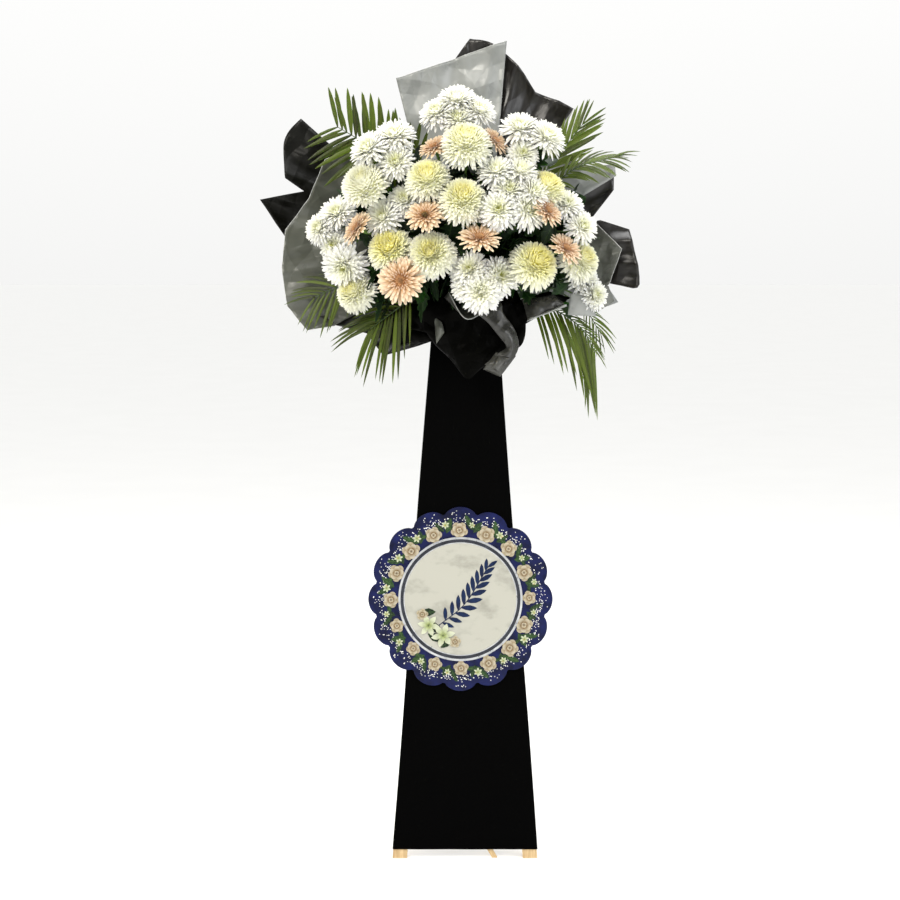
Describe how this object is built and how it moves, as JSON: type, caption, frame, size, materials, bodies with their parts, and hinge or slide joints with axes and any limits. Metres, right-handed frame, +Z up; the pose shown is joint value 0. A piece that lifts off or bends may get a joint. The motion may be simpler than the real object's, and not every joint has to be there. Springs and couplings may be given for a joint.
{
  "type": "standing funeral spray",
  "caption": "Tall timber easel with a black cloth skirt and a round scalloped card, topped by a fan of white chrysanthemums, peach gerberas and palm fronds in black and grey film.",
  "frame": {"origin": "centre of the bounding box in plan, on the floor", "axes": "+Z up; -Y is the front, which the card and the blooms face; +X to the right seen from the front"},
  "size_m": [0.8264, 0.6662, 1.792],
  "materials": {
    "timber": "sawn, unfinished",
    "plywood": "unfinished",
    "black_cloth": "matt non-woven",
    "printed_card": "printed, satin",
    "green_plastic": "moulded",
    "wet_foam": "open-cell, soaked",
    "black_film": "satin sheet",
    "grey_film": "frosted translucent sheet",
    "cream_petal": "fresh petals",
    "white_petal": "fresh petals",
    "peach_petal": "fresh petals",
    "palm_leaf": "waxy fresh leaf",
    "dark_leaf": "matt fresh leaf"
  },
  "bodies": {
    "root": {"leg_front_left": "timber", "leg_front_right": "timber", "rail_low": "timber", "rail_top": "timber", "leg_rear": "timber", "brace_rear": "timber", "lath_diagonal": "timber", "back_board": "plywood", "skirt": "black_cloth", "sign_card": "printed_card", "foam_tray": "green_plastic", "foam_block": "wet_foam", "film_black_top": "black_film", "film_black_left": "black_film", "film_black_right_lower": "black_film", "film_black_right_upper": "black_film", "film_black_bottom_left": "black_film", "film_black_front": "black_film", "film_grey_top": "grey_film", "film_grey_right_upper": "grey_film", "film_grey_left": "grey_film", "film_grey_right": "grey_film", "film_grey_bottom_right": "grey_film", "film_grey_front": "grey_film", "pompon_top": "cream_petal", "pompon_upper_left": "cream_petal", "pompon_inner_left": "cream_petal", "pompon_middle": "cream_petal", "pompon_left_yellow": "cream_petal", "pompon_left_front": "cream_petal", "pompon_right_yellow": "cream_petal", "pompon_right": "cream_petal", "pompon_far_right": "cream_petal", "pompon_low_left": "cream_petal", "spray_top": "white_petal", "spray_upper_left": "white_petal", "spray_upper_right": "white_petal", "spray_centre_right": "white_petal", "spray_left": "white_petal", "spray_bottom_centre": "white_petal", "spray_right": "white_petal", "spray_bottom_right": "white_petal", "spray_inner_left": "white_petal", "gerbera_top_left": "peach_petal", "gerbera_top_right": "peach_petal", "gerbera_left_centre": "peach_petal", "gerbera_left": "peach_petal", "gerbera_low_left": "peach_petal", "gerbera_middle": "peach_petal", "gerbera_right": "peach_petal", "gerbera_far_right": "peach_petal", "frond_upper_left": "palm_leaf", "frond_upper_right": "palm_leaf", "frond_right": "palm_leaf", "frond_left": "palm_leaf", "frond_low_left": "palm_leaf", "frond_low_right": "palm_leaf", "frond_low_far_right": "palm_leaf", "leaves_left": "dark_leaf", "leaves_right": "dark_leaf"}
  },
  "joints": []
}
